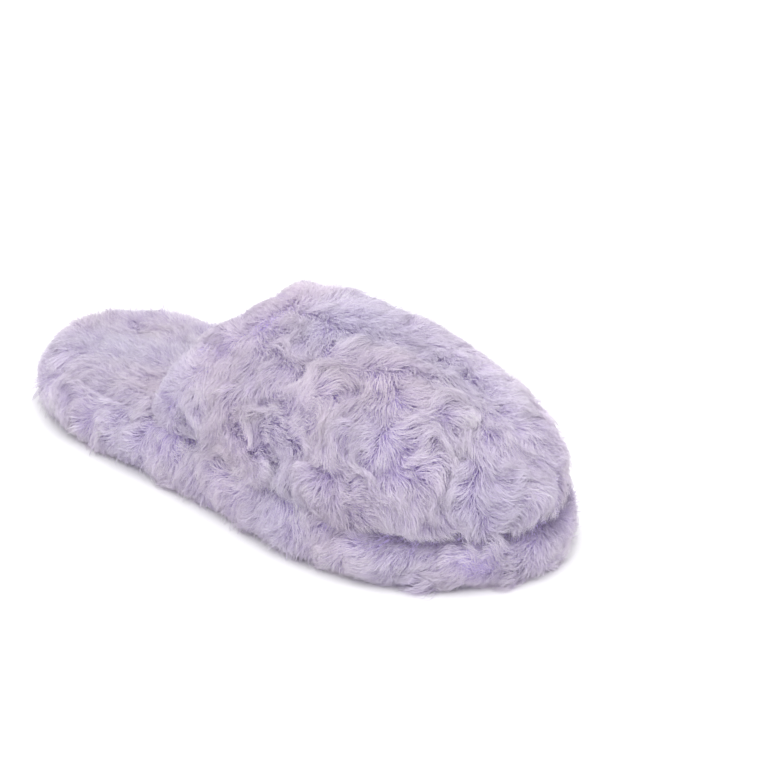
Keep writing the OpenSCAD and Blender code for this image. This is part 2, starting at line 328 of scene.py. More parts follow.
def noisy(name, dark, light, scale, rough, bump=0.0, bump_scale=None, sheen=0.0):
    """Two colours mixed by noise, with an optional fine bump."""
    mat, tree, shader = new_material(name)
    place = add_node(tree, "TexCoord").outputs["Object"]
    noise = add_node(tree, "TexNoise", {"Scale": scale, "Detail": 6, "Vector": place})
    ramp = add_node(tree, "ValToRGB", {"Fac": noise.outputs["Fac"]})
    for stop, at, colour in zip(ramp.color_ramp.elements, (0.36, 0.64), (dark, light)):
        stop.position = at
        stop.color = (*colour, 1)
    set_inputs(tree, shader, {"Base Color": ramp.outputs["Color"], "Roughness": rough,
                              "Sheen Weight": sheen})
    if bump:
        grain = add_node(tree, "TexNoise", {"Scale": bump_scale, "Vector": place})
        relief = add_node(tree, "Bump", {"Strength": bump, "Distance": 0.0006,
                                         "Height": grain.outputs["Fac"]})
        set_inputs(tree, shader, {"Normal": relief.outputs["Normal"]})
    return mat


def pile_material(name, gain=1.0):
    """Strand colour from the "pile" attribute; gain is its brightness."""
    lay_share = 0.10    # how far the lay of the pile turns the shading normal
    translucent = 0.30
    passing = 0.70      # share of shadow and diffuse rays that go through a strand
    mat, tree, shader = new_material(name)
    painted = add_node(tree, "Attribute", attribute_name="pile")
    place = add_node(tree, "TexCoord").outputs["Object"]
    noise = add_node(tree, "TexNoise", {"Scale": 95, "Detail": 3, "Vector": place})
    brightness = add_node(tree, "MapRange", {
        "Value": noise.outputs["Fac"], "From Min": 0.3, "From Max": 0.7,
        "To Min": 0.965 * gain, "To Max": 1.02 * gain})
    colour = add_node(tree, "VectorMath", {
        0: painted.outputs["Color"], "Scale": brightness.outputs["Result"]},
        operation="SCALE").outputs["Vector"]

    # the lay of the pile as a whole catches the light, besides the side of a single strand
    lay = add_node(tree, "Attribute", attribute_name="lay")
    geometry = add_node(tree, "NewGeometry")
    of_lay = add_node(tree, "VectorMath", {
        0: lay.outputs["Vector"], "Scale": lay_share}, operation="SCALE")
    of_side = add_node(tree, "VectorMath", {
        0: geometry.outputs["Normal"], "Scale": 1 - lay_share}, operation="SCALE")
    both = add_node(tree, "VectorMath", {
        0: of_lay.outputs["Vector"], 1: of_side.outputs["Vector"]}, operation="ADD")
    normal = add_node(tree, "VectorMath", {0: both.outputs["Vector"]}, operation="NORMALIZE")
    set_inputs(tree, shader, {"Base Color": colour, "Roughness": 0.8, "Specular IOR Level": 0.15,
                              "Normal": normal.outputs["Vector"]})
    through = add_node(tree, "BsdfTranslucent", {"Color": colour})
    strand = add_node(tree, "MixShader", {
        "Fac": translucent, 1: shader.outputs["BSDF"], 2: through.outputs["BSDF"]})

    # real fibres are far finer: most light on its way through the pile passes, a little tinted
    clear = add_node(tree, "BsdfTransparent", {"Color": (0.963, 0.940, 0.979, 1)})
    thin = add_node(tree, "MixShader", {
        "Fac": passing, 1: strand.outputs["Shader"], 2: clear.outputs["BSDF"]})
    rays = add_node(tree, "LightPath")
    last = strand
    for ray in ("Is Shadow Ray", "Is Diffuse Ray"):
        last = add_node(tree, "MixShader", {
            "Fac": rays.outputs[ray], 1: last.outputs["Shader"], 2: thin.outputs["Shader"]})
    set_inputs(tree, tree.nodes["Material Output"], {"Surface": last.outputs["Shader"]})
    return mat


PILE = pile_material("lilac_pile")
PLUSH = pile_material("lilac_plush", gain=0.97)
CLOTH = noisy("pile_backing", (0.56, 0.46, 0.80), (0.64, 0.55, 0.86),
              scale=220, rough=0.95, sheen=0.3)
LINING = noisy("lining_backing", (0.60, 0.52, 0.80), (0.68, 0.60, 0.86),
               scale=260, rough=0.95, sheen=0.3)
RUBBER = noisy("sole_rubber_grain", (0.25, 0.20, 0.31), (0.31, 0.26, 0.37),
               scale=130, rough=0.62, bump=0.35, bump_scale=1400)
EVA = noisy("eva_foam", (0.76, 0.73, 0.79), (0.84, 0.82, 0.87),
            scale=300, rough=0.8, bump=0.4, bump_scale=1600)
FOAM = noisy("pu_foam", (0.80, 0.78, 0.70), (0.90, 0.88, 0.82),
             scale=500, rough=0.9, bump=0.5, bump_scale=1800)
BOARD = noisy("fibre_board", (0.40, 0.30, 0.19), (0.55, 0.44, 0.31),
              scale=180, rough=0.85, bump=0.3, bump_scale=900)
TAPE = noisy("woven_tape", (0.66, 0.63, 0.70), (0.80, 0.77, 0.84),
             scale=900, rough=0.8, bump=0.4, bump_scale=2600)
THREAD = noisy("spun_thread", (0.40, 0.33, 0.52), (0.52, 0.45, 0.63), scale=1500, rough=0.6)


def across(piece, slot, *nodes):
    """For a piece that runs from heel to toe: bakes its place into the mesh and hides the CAD parts
    it stands in for.
    """
    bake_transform(piece)
    if nodes:
        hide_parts(*nodes)


def sole_plate(name, slot, mat, bottom, top, depth=CORE_IN, **grid):
    piece = plate(name, depth, bottom, top, mat, **grid)
    clean(piece, sharp=35)
    across(piece, slot, f"{name}_front", f"{name}_rear")


GROOVE_WIDTH, GROOVE_PITCH, GROOVE_Z = 2.6, 9.0, 1.5
FLANK = 0.12                        # half the run of a groove's steep side
RIM_GROOVE = (3.0, 3.3, 5.3, 5.6)   # grid lines at both sides of the groove round the edge
groove_xs = [x for x in np.arange(-LENGTH / 2 + 20, LENGTH / 2 - 18 + 1e-6, GROOVE_PITCH)
             if abs(x - WAIST_X) > GROOVE_WIDTH]


def tread_z(x, y, distance):
    z = np.zeros(x.shape)
    for groove in groove_xs:
        z = np.where((np.abs(x - groove) < GROOVE_WIDTH / 2) & (distance > 5.2), GROOVE_Z, z)
    return np.where((distance > 3.15) & (distance < 5.45), GROOVE_Z, z)


def tread_xs():
    """Even grid lines, except at the grooves, where the lines follow the groove sides."""
    heel, toe = ends(CORE_IN)
    half = GROOVE_WIDTH / 2
    flanks = [x + q for x in groove_xs
              for q in (-half - FLANK, -half + FLANK, half - FLANK, half + FLANK)]
    tips = [heel + q for q in RIM_GROOVE] + [toe - q for q in RIM_GROOVE]
    base = [x for x in cosine_spread(heel, toe, 60, 0.9995)
            if min(abs(x - flank) for flank in flanks) > 0.6]
    return np.array(base + flanks + tips)


sole_plate("outsole", "sole_rubber", RUBBER, bottom=tread_z, top=4.0,
           xs=tread_xs(), edge_lines=[0, *RIM_GROOVE, 8])
# the midsole's edge is raised to leave room for the turned-in wrap
sole_plate("midsole", "midsole_foam", EVA, top=16.0, edge_lines=[0, 3, 6, 9.6, 10.4],
           bottom=lambda x, y, distance: np.where(distance > 10, 4.1, 5.2))
sole_plate("insole_board", "board", BOARD, bottom=16.12, top=17.6, depth=CORE_IN + 1)
sole_plate("footbed_foam", "foam", FOAM, bottom=17.7, top=24.0)


# ---------------------------------------------------------------------------
# Cloth
# ---------------------------------------------------------------------------
def sock_top(x, y, distance):
    """Cushioned on the open heel, low where the upper's foot stands on it."""
    open_heel = smooth(x, MOUTH_SIDE_X + 4, MOUTH_SIDE_X - 10)
    free = 24.9 + 2.1 * np.clip(distance / 7.0, 0, 1) ** 0.6
    under = 24.75 + 1.4 * smooth(distance, 8.5, 12.5)
    return open_heel * free + (1 - open_heel) * under


sock = plate("sock_cloth", CORE_IN, 24.12, sock_top, LINING,
             nx=150, edge_lines=[0, 1.5, 3, 5, 7.5, 9, 11, 13])
clean(sock, sharp=60)
across(sock, "sock_pile")

# Section of the band round the platform: distance in from the footprint, z. It goes down the
# outside, in under the midsole, back out and up the inside.
WRAP_SECTION = np.array([
    [9.45, 24.5], [8.9, 24.1], [7.4, 22.7], [5.7, 20.3], [4.7, 17.2], [4.3, 13.6], [4.3, 10],
    [4.8, 6.6], [6.0, 3.9], [7.8, 2.5], [9.35, 2.3], [9.35, 4.05], [14, 4.05], [18.4, 4.05],
    [18.4, 5.05], [14, 5.05], [9.15, 5.05], [9.15, 9], [9.15, 14], [9.15, 19], [9.15, 21.6],
    [9.45, 23.2]])
WRAP_OUTER = np.arange(2, 10)  # its points on the outer face


def even_ring(count):
    """Ring positions at even arc length round the footprint."""
    u = np.linspace(0, RING_COUNT, 6001)
    steps = np.linalg.norm(np.diff(foot(u), axis=0), axis=1)
    run = np.concatenate([[0], np.cumsum(steps)])
    return np.interp(np.linspace(0, run[-1], count, endpoint=False), run, u)


def band_points(u, section):
    points = np.empty((len(u), len(section), 3))
    for k, (depth, z) in enumerate(section):
        points[:, k, :2] = inset(u, depth)
        points[:, k, 2] = z
    return points


def build_wrap(u):
    points = band_points(u, WRAP_SECTION)
    # a little softness in the outer face
    swell = 0.5 * band_noise(points[:, WRAP_OUTER].reshape(-1, 3)).reshape(len(u), -1)
    points[:, WRAP_OUTER, :2] += swell[..., None] * outward(u)[:, None]
    faces = grid_faces(len(u), len(WRAP_SECTION), True, True)
    piece = add_mesh("wrap_cloth", points.reshape(-1, 3), faces, CLOTH)
    clean(piece, sharp=60)
    across(piece, "outer_pile")
    return piece


def build_seam(u, depth=8.1, z=24.94, radius=0.25, facets=6):
    """Thread lying round the top of the platform."""
    path = np.column_stack([inset(u, depth), np.full(len(u), z)])
    tangent = np.roll(path, -1, 0) - np.roll(path, 1, 0)
    tangent /= np.linalg.norm(tangent, axis=1, keepdims=True)
    side = np.cross(tangent, [0, 0, 1.0])
    side /= np.linalg.norm(side, axis=1, keepdims=True)
    up = np.cross(side, tangent)
    angle = (np.arange(facets) * 2 * math.pi / facets)[None, :, None]
    verts = path[:, None] + radius * (np.cos(angle) * side[:, None] + np.sin(angle) * up[:, None])
    faces = grid_faces(len(u), facets, True, True)
    piece = add_mesh("seam_thread", verts.reshape(-1, 3), faces, THREAD)
    clean(piece)
    across(piece, "thread", "seam_thread_front", "seam_thread_rear")


band_u = even_ring(520)
wrap = build_wrap(band_u)
build_seam(band_u)


def thick_shell(name, outer, inner, mat, steps=120):
    """Cloth of the upper. outer and inner are equally long chains of (s, depth, back) from the
    toe tip to the mouth, swept round the section in steps."""
    chain = outer + inner[::-1]
    last = len(chain) - 1
    count = last - 1
    around = np.linspace(0, math.pi, steps + 1)
    poles = [upper_at([s], 0.0, depth, back)[0] for s, depth, back in (chain[0], chain[-1])]
    sweep = np.stack([upper_at(s, around, depth, back) for s, depth, back in chain[1:-1]], 1)
    verts = np.vstack([np.array(poles), sweep.reshape(-1, 3)])

    def index(k, j):
        return 0 if k == 0 else 1 if k == last else 1 + j * count + k

    faces = [(index(k, j), index(k + 1, j), index(k + 1, j + 1), index(k, j + 1))
             for j in range(steps) for k in range(1, count)]
    for j in range(steps):
        faces.append((0, index(1, j), index(1, j + 1)))
        faces.append((1, index(count, j + 1), index(count, j)))
    # the two feet of the shell, between the outer and the inner chain
    faces += [(index(k, j), index(k + 1, j), index(last - 1 - k, j), index(last - k, j))
              for j in (0, steps) for k in range(len(outer) - 1)]
    mesh = bpy.data.meshes.new(name)
    mesh.from_pydata((verts * MM).tolist(), [], faces)
    mesh.update()
    mesh.materials.append(mat)
    piece = link_object(name, mesh)
    clean(piece, dissolve=True)
    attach(piece, "forefoot")
    return piece


RIM_DEPTH, RIM_RADIUS = 7.8, 3.2   # rolled edge of the mouth: depth of its centre, radius
UPPER_DEPTH = RIM_DEPTH - RIM_RADIUS
RIM_INNER = 2.0                    # radius of the cloth's inner face round the rim


def sheet(depth, back):
    return [(s, depth, back) for s in ease(70, 2.4)[::-1]]


def rim(radius, count):
    return [(0, RIM_DEPTH - radius * math.cos(p), RIM_RADIUS - radius * math.sin(p))
            for p in np.linspace(0, math.pi, count)[1:]]


upper_cloth = thick_shell(
    "upper_cloth", sheet(UPPER_DEPTH, RIM_RADIUS) + rim(RIM_RADIUS, 11) + [(0, 11.0, 5.0)],
    sheet(RIM_DEPTH - RIM_INNER, RIM_RADIUS) + rim(RIM_INNER, 11) + [(0, 9.9, 5.0)],
    CLOTH)
lining_cloth = thick_shell("lining_cloth", sheet(9.7, 5.3) + [(0, 9.9, 5.1)],
                           sheet(11.2, 5.3) + [(0, 11.0, 5.1)], LINING)

# CAD pieces that keep their shape and get a finish
for name, mat in (("upper_foam", FOAM), ("topline_tape", TAPE), ("topline_thread", THREAD),
                  ("wrap_join_tape", TAPE)):
    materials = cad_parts[name].data.materials
    materials.clear()
    materials.append(mat)


# ---------------------------------------------------------------------------
# Pile: every strand is a closed, tapered, bent mesh; strands gather in locks round a guide
# ---------------------------------------------------------------------------
def padded(grid, axis, mode):
    """The grid with one more row or column at both ends."""
    return np.pad(grid, [(int(k == axis),) * 2 for k in range(3)], mode=mode)


class Patch:
    """A surface as a fine grid of points for the pile to be walked over.

    The normals are turned so that the one at the probe (row, column) points along facing.
    closed joins the last row to the first.
    """

    def __init__(self, points, probe, facing, closed=False):
        self.points = points
        self.closed = closed
        self.rows, self.columns = points.shape[:2]
        row_mode = "wrap" if closed else "edge"
        if closed:
            wrapped = padded(points, 0, row_mode)
            along_rows = (wrapped[2:] - wrapped[:-2]) / 2
        else:
            along_rows = np.gradient(points, axis=0)
        normals = np.cross(along_rows, np.gradient(points, axis=1))
        size = np.linalg.norm(normals, axis=-1, keepdims=True)
        self.area = (size[..., 0] if closed else size[:-1, :, 0])[:, :-1]
        normals = normals / np.maximum(size, 1e-9)
        # near a pole the cross product is unreliable: smooth it over the neighbours
        for _ in range(2):
            by_row = padded(normals, 0, row_mode)
            by_column = padded(normals, 1, "edge")
            normals = unit(normals * 2 + (by_row[:-2] + by_row[2:]) * 0.5
                           + (by_column[:, :-2] + by_column[:, 2:]) * 0.5)
        if normals[probe] @ np.asarray(facing, float) < 0:
            normals *= -1
        self.normals = normals
        faces = grid_faces(self.rows, self.columns, closed)
        self.face_normals = normals.reshape(-1, 3)[faces].mean(1)
        self.tree = BVHTree.FromPolygons(
            [tuple(v) for v in points.reshape(-1, 3).tolist()], faces.tolist())

    def nearest(self, places):
        """Nearest places on the surface and their smoothed normals."""
        found, normals = np.empty_like(places), np.empty_like(places)
        for i, place in enumerate(places.tolist()):
            found[i], _, face, _ = self.tree.find_nearest(place)
            normals[i] = self.face_normals[face]
        return found, unit(normals)

    def weighted_area(self, weight):
        rows, columns = self.area.shape
        return self.area * weight(self.points[:rows, :columns])

    def sample(self, count, weight, seed):
        """Random grid positions (row, column), even by weighted area."""
        rng = np.random.default_rng(seed)
        area = self.weighted_area(weight)
        total = np.cumsum(area.ravel())
        cell = np.searchsorted(total, rng.uniform(0, total[-1], count))
        row, column = np.unravel_index(np.minimum(cell, area.size - 1), area.shape)
        return np.column_stack([row + rng.random(count), column + rng.random(count)])

    def at(self, grid):
        """Places and normals at grid positions."""
        u, v = grid[:, 0], np.clip(grid[:, 1], 0, self.columns - 1.0001)
        if self.closed:
            u = np.mod(u, self.rows)
            i = np.floor(u).astype(int) % self.rows
            i2 = (i + 1) % self.rows
        else:
            u = np.clip(u, 0, self.rows - 1.0001)
            i = np.floor(u).astype(int)
            i2 = i + 1
        j = np.floor(v).astype(int)
        fu, fv = (u - np.floor(u))[:, None], (v - j)[:, None]

        def blend(values):
            return ((values[i, j] * (1 - fu) + values[i2, j] * fu) * (1 - fv)
                    + (values[i, j + 1] * (1 - fu) + values[i2, j + 1] * fu) * fv)
        return blend(self.points), unit(blend(self.normals))


def walk(patch, grid, length, comb, lifts, turn):
    """Lays strands over the patch along the comb field, one step for each column of lifts.
    Returns points and normals (n, steps + 1, 3)."""
    n, steps = lifts.shape
    points = np.empty((n, steps + 1, 3))
    normals = np.empty((n, steps + 1, 3))
    height = np.full(n, -0.3)  # the root is buried
    place, normal = patch.at(grid)
    over = np.zeros((n, 3))
    cos, sin = np.cos(turn)[:, None], np.sin(turn)[:, None]
    reach = length / steps
    for k in range(steps + 1):
        points[:, k] = place + normal * height[:, None] + over
        normals[:, k] = normal
        if k == steps:
            break
        way = comb(place, normal)
        way = way * cos + np.cross(normal, way) * sin
        way = unit(way - normal * (way * normal).sum(1, keepdims=True))
        step = reach * np.cos(lifts[:, k])
        want = place + way * step[:, None]
        place, normal = patch.nearest(want)
        miss = want - place
        miss -= normal * (miss * normal).sum(1, keepdims=True)
        lost = np.linalg.norm(miss, axis=1)
        lost = np.where(lost > 0.02, np.minimum(lost, step), 0)
        # past the edge of the cloth the hair runs on and stands off
        over += (way * 0.70 + normals[:, k] * 0.14) * lost[:, None]
        height += reach * np.sin(lifts[:, k])
    return points, normals


MAX_TRIANGLES = 190000   # in one object
FLATNESS = 0.65          # thickness of a strand to its width


def strands_to_mesh(name, points, normals, width, roots, tips, mat):
    """Closed tapered three-sided strands, split into objects along x when there are many.
    roots and tips are the end colours of each strand."""
    n, steps = points.shape[0], points.shape[1] - 1
    t = np.linspace(0, 1, steps + 1)
    taper = (1 - t ** 2.2) * 0.88 + 0.12
    each = 3 * steps + 1
    per_object = min(n, MAX_TRIANGLES // (6 * (steps - 1) + 4))
    parts = max(1, math.ceil(n / per_object))
    order = np.argsort(points[:, 0, 0]) if parts > 1 else np.arange(n)

    strand = []
    for a in range(3 * (steps - 1)):
        b = a + 1 if a % 3 < 2 else a - 2
        strand += [(a, b, b + 3), (a, b + 3, a + 3)]
    strand += [(each - 4 + s, each - 4 + (s + 1) % 3, each - 1) for s in range(3)]
    strand.append((0, 2, 1))

    # colour share of the tip, and place in the strand's own cell of the texture
    tip_share = smooth(np.concatenate([np.repeat(t[:-1], 3), [1.0]]) * 1.35, 0, 1)[None, :, None]
    cell_u = np.concatenate([np.tile(0.15 + 0.35 * np.arange(3), steps), [0.5]])
    cell_v = np.concatenate([np.repeat(0.08 + 0.84 * t[:-1], 3), [0.92]])
    corners = np.radians([90, 210, 330])[None, :, None]

    made = []
    for part in range(parts):
        ids = order[part * n // parts:(part + 1) * n // parts]
        m = len(ids)
        spine = points[ids]
        tangent = unit(np.gradient(spine, axis=1))
        side = unit(np.cross(tangent, normals[ids]))
        up = np.cross(side, tangent)
        rings = []
        for k in range(steps):
            radius = (width[ids] * taper[k])[:, None, None] / 2
            rings.append(spine[:, k, None] + radius * (
                np.cos(corners) * side[:, k, None] + FLATNESS * np.sin(corners) * up[:, k, None]))
        verts = np.concatenate([*rings, spine[:, steps:]], 1).reshape(-1, 3)
        faces = (np.array(strand)[None] + (np.arange(m) * each)[:, None, None]).reshape(-1, 3)
        full_name = name if parts == 1 else f"{name}_{part + 1}"
        piece = add_mesh(full_name, verts, faces, mat)
        mesh = piece.data
        colour = roots[ids][:, None] * (1 - tip_share) + tips[ids][:, None] * tip_share
        colour = np.concatenate([colour, np.ones((m, each, 1))], -1).astype(np.float32)
        painted = mesh.color_attributes.new("pile", "FLOAT_COLOR", "POINT")
        painted.data.foreach_set("color", colour.ravel())
        lay = mesh.attributes.new("lay", "FLOAT_VECTOR", "POINT")
        lay_normals = np.repeat(normals[ids, 1], each, axis=0).astype(np.float32)
        lay.data.foreach_set("vector", lay_normals.ravel())
        cells = math.ceil(math.sqrt(m))
        cell = 1.0 / cells
        left, low = np.arange(m) % cells * cell, np.arange(m) // cells * cell
        uv = np.stack([left[:, None] + cell_u * cell, low[:, None] + cell_v * cell], -1)
        layer = mesh.uv_layers.new(name="OFBake")
        corner_uv = uv.reshape(-1, 2)[faces.ravel()].astype(np.float32)
        layer.data.foreach_set("uv", corner_uv.ravel())
        made.append(piece)
    return made


# Shared by all pile
JITTER = 13      # degrees a strand turns from its lock
FLYAWAY = 0.15   # share of strands that leave their lock
STRAY = 0.05     # share of longer hairs that break up the outline
LUMPS = 0.08     # how much the lift varies over the surface
LOWEST_Z = 0.35
TIP_COLOUR = (0.902, 0.853, 0.937)
# painted shade: the darker colours that strands take in the hollows of the pile
PIT_SHADE_TIP, PIT_SHADE_ROOT = (0.66, 0.555, 0.82), (0.50, 0.38, 0.74)


def pile(name, patch, mat, count, length, lift, comb, seed, width=0.28, clump=0.30,
         lock_area=26.0, lock_turn=16, pits=0.0, tone=0.03, root=(0.605, 0.50, 0.79),
         weight=constant(1.0), len_map=constant(1.0), lift_map=constant(1.0),
         painted_shade_map=constant(1.0), wild=constant(0.0), calm=constant(1.0),
         root_mix=constant(0.0)):
    """Covers the patch with strands, returned as a list of objects.

    lift: degrees off the surface at each step. clump: pull toward the guide of the lock.
    lock_area: mm2 to one lock. lock_turn: spread of the locks in degrees. pits: depth of the
    hollows, and of the shade painted into them. tone: spread of brightness. wild adds turning,
    calm takes variation away, root_mix brings the root colour toward the tip's, and the map of
    painted shade darkens the colour where shade is painted.
    """
    n = int(count * DENSITY)
    rng = np.random.default_rng(seed)
    locks = max(60, int(float(patch.weighted_area(weight).sum()) / lock_area))
    base_lift = np.radians(np.array(lift))[None]
    lock_turns = np.radians(rng.normal(0, lock_turn, locks))
    lock_len = rng.uniform(0.84, 1.12, locks)
    lock_lift = 1 + rng.normal(0, 0.09, locks)

    def lay(grid, strand_seed, find_lock=None):
        """Strands at the grid positions; without find_lock, the guides themselves."""
        own = np.random.default_rng(strand_seed)
        m = len(grid)
        places = patch.at(grid)[0]
        lock = find_lock(places) if find_lock else np.arange(m)
        lengths = length * (1 + 0.10 * len_noise(places)) * lock_len[lock]
        if find_lock:
            lengths = lengths * own.uniform(0.80, 1.14, m)
        still = calm(places)
        pit = pits * still * smooth(pit_noise(places), 1.0, 1.8)
        lengths = lengths * len_map(places, grid) * (1 - 0.38 * pit)
        spread = own.normal(0, 0.07, m) if find_lock else 0
        lifts = base_lift * (1 + still * (lock_lift[lock] - 1)
                             + still * LUMPS * lift_noise(places) + spread)[:, None]
        lifts = lifts * lift_map(places, grid)[:, None] * (1 - 0.25 * pit)[:, None]
        jitter = np.radians(own.normal(0, JITTER, m)) if find_lock else 0
        turn = (still * lock_turns[lock] + jitter) * (1 + wild(places, grid))
        flying = np.zeros(m, bool)
        if find_lock:
            flying = own.random(m) < FLYAWAY
            turn = np.where(flying, np.radians(own.normal(0, 50, m)), turn)
            raised = lifts * 0.9 + np.radians(own.uniform(12, 58, m))[:, None]
            lifts = np.where(flying[:, None], raised, lifts)
            lengths = np.where(flying, lengths * 0.72, lengths)
            stray = ~flying & (own.random(m) < STRAY)
            raised = lifts + np.radians(own.uniform(10, 42, m))[:, None]
            lifts = np.where(stray[:, None], raised, lifts)
            lengths = np.where(stray, lengths * own.uniform(1.0, 1.25, m), lengths)
        points, normals = walk(patch, grid, lengths, comb, lifts, turn)
        return points, normals, flying, lock

    guide_grid = patch.sample(locks, weight, seed + 100)
    guides = lay(guide_grid, seed + 200)[0]
    guide_tree = KDTree(locks)
    for i, place in enumerate(patch.at(guide_grid)[0]):
        guide_tree.insert(place, i)
    guide_tree.balance()

    def nearest_guide(places):
        # a little noise keeps the edge between two locks from being a line
        moved = places + rng.normal(0, 0.5, places.shape)
        return np.array([guide_tree.find(p)[1] for p in moved.tolist()])

    grid = patch.sample(n, weight, seed + 300)
    points, normals, flying, lock = lay(grid, seed + 400, nearest_guide)
    roots_at = points[:, 0]

    # draw each strand toward the guide of its lock, more so at the tip
    guide = guides[lock]
    t = np.linspace(0, 1, points.shape[1])
    strength = (clump * rng.uniform(0.3, 1.6, locks))[lock]
    strength = np.where(flying, 0.05, strength)
    pull = np.clip(strength[:, None] * t[None] ** 1.2, 0, 0.9)
    target = guide + (roots_at - guide[:, 0])[:, None] * (1 - pull[..., None])
    share = np.clip(pull * 1.2, 0, 0.85)[..., None]
    drawn = points * (1 - share) + target * share
    drawn[..., 2] = np.maximum(drawn[..., 2], LOWEST_Z)

    # violet at the root, pale at the tip, varied by lock
    lock_tone = rng.normal(0, 1, locks)[lock]
    shade = 1 + tone * lock_tone + 0.03 * rng.normal(0, 1, n) + 0.02 * tone_noise(roots_at)
    # painted shade: the map darkens strands in the toe crease, round the mouth rim and toward the
    # top of the vamp
    shade = shade * painted_shade_map(roots_at, grid)
    shade = np.where(flying, shade * 0.95, shade)
    warm = 0.008 * warm_noise(roots_at)
    # where it is darker, by lock or by painted shade, it is also more violet
    tips = (np.array(TIP_COLOUR) * np.maximum(shade, 0.2)[:, None] ** np.array([[1.03, 1.14, 0.84]])
            * np.stack([1 + warm, 1 + 0 * warm, 1 - warm], -1))
    roots = np.array(root) * np.clip(shade * rng.uniform(0.9, 1.1, n), 0.5, 1.3)[:, None]
    # painted shade: strands in the hollows take darker colours, and their roots stay dark
    hollow = pits * smooth(pit_noise(roots_at), 0.9, 1.7)[:, None]
    pit = 0.42 * calm(roots_at)[:, None] * hollow
    tips = tips * (1 - pit) + np.array(PIT_SHADE_TIP) * pit
    roots = roots * (1 - pit) + np.array(PIT_SHADE_ROOT) * pit
    mix = root_mix(roots_at, grid, normals[:, 0])[:, None] * (1 - hollow)
    roots = roots * (1 - mix) + tips * 0.96 * mix
    widths = width * rng.uniform(0.6, 1.3, n) * np.where(flying, 1.15, 1.0)
    return strands_to_mesh(name, drawn, normals, widths,
                           np.clip(roots, 0.02, 0.92), np.clip(tips, 0.02, 0.975), mat)


def comb_with(bias, big, small):
    """The combed direction, turned over the surface by smooth angles (degrees)."""
    def comb(places, normals):
        way = bias(places, normals)
        way = unit(way - normals * (way * normals).sum(1, keepdims=True))
        turn = np.radians(big * turn_big(places) + small * turn_small(places))[:, None]
        return way * np.cos(turn) + np.cross(normals, way) * np.sin(turn)
    return comb


def level_tangent(normals):
    """Level direction along the surface, counter-clockwise seen from above."""
    return np.stack([-normals[:, 1], normals[:, 0], 0 * normals[:, 0]], -1)


# Outward direction and distance of the nearest sole-plate edge, on a 1 mm grid
HALF_X, HALF_Y = 142, 60


def edge_lookup():
    u = np.linspace(0, RING_COUNT, 500, endpoint=False)
    ring = inset(u, CORE_IN)
    grid_x, grid_y = np.meshgrid(np.arange(-HALF_X, HALF_X + 1, 1.0),
                                 np.arange(-HALF_Y, HALF_Y + 1, 1.0), indexing="ij")
    places = np.stack([grid_x.ravel(), grid_y.ravel()], -1)
    near = np.concatenate([((part[:, None] - ring[None]) ** 2).sum(-1).argmin(1)
                           for part in np.array_split(places, 12)])
    distance = np.linalg.norm(places - ring[near], axis=1)
    return outward(u)[near].reshape(*grid_x.shape, 2), distance.reshape(grid_x.shape)


EDGE_OUT, EDGE_DISTANCE = edge_lookup()


def look(places):
    i = np.clip(np.round(places[:, 0] + HALF_X).astype(int), 0, 2 * HALF_X)
    j = np.clip(np.round(places[:, 1] + HALF_Y).astype(int), 0, 2 * HALF_Y)
    return EDGE_OUT[i, j], EDGE_DISTANCE[i, j]


# --- vamp: outside of the upper and round the mouth edge ---------------------
VAMP_COLUMNS = 220


def vamp_patch():
    around = np.linspace(0, math.pi, VAMP_COLUMNS)
    chain = [(s, UPPER_DEPTH, RIM_RADIUS) for s in ease(210, 2.6)[::-1]] + rim(RIM_RADIUS, 26)
    points = np.array([upper_at(s, around, depth, back) for s, depth, back in chain])[::-1]
    return Patch(points, (len(chain) // 2, VAMP_COLUMNS // 2), (0, 0, 1))


def mouth_x(places):
    """Where the mouth edge is at the side of each place."""
    outer, inner = edges(places[:, 0], SEAT_IN + UPPER_DEPTH)
    half = np.maximum((inner - outer) / 2, 1)
    c = np.clip((places[:, 1] - (outer + inner) / 2) / half, -1, 1)
    return mouth(np.arccos(-np.sign(c) * np.abs(c) ** (1 / 0.88))) + RIM_RADIUS


def vamp_bias(places, normals):
    x, y, z = places.T
    # toward the toe and down the flanks
    way = np.zeros_like(places)
    way[:, 0] = 0.6
    way[:, 1] = 0.25 * np.sign(normals[:, 1]) * np.abs(normals[:, 1])
    way[:, 2] = -0.9
    # round the toe it is brushed sideways, from the outer flank over to the inner one
    way += 0.85 * level_tangent(normals) * (smooth(x, 0, 60) * smooth(y, 45, 5))[:, None]
    # orderly just above the seam at the front
    way[:, 2] -= 0.6 * smooth(z, 40, 27) * smooth(x, 30, 80)
    # backward along the mouth
    at_mouth = 1 - smooth(x - mouth_x(places), 3, 13)[:, None]
    return way * (1 - at_mouth) + np.array([-1.0, 0, 0]) * at_mouth


def from_mouth(places, grid):
    angle = grid[:, 1] / (VAMP_COLUMNS - 1) * math.pi
    return places[:, 0] - (mouth(angle) + RIM_RADIUS)


# painted shade: darker round the mouth rim, which the light catches, and toward the top under the
# key light
def vamp_painted_shade(places, grid):
    return (1 - 0.05 * (1 - smooth(from_mouth(places, grid), 0, 9))
            - 0.05 * smooth(places[:, 2], 60, 84))


def vamp_wild(places, grid):
    return 1.3 * (1 - smooth(from_mouth(places, grid), 0, 9))


# paler roots near the mouth, and painted light: paler roots where the pile faces up, as if lit from
# above
def vamp_roots_pale_and_lit(places, grid, normals):
    return np.maximum(0.80 * (1 - smooth(from_mouth(places, grid), 9, 24)),
                      0.35 * smooth(normals[:, 2], 0.6, 0.95))


def vamp_calm(places):
    # smoother brushed over the instep than round the toe and the sides
    return 1 - 0.65 * smooth(places[:, 2], 52, 80)


def vamp_len(places, grid):
    return 0.62 + 0.38 * smooth(from_mouth(places, grid), 2, 16)


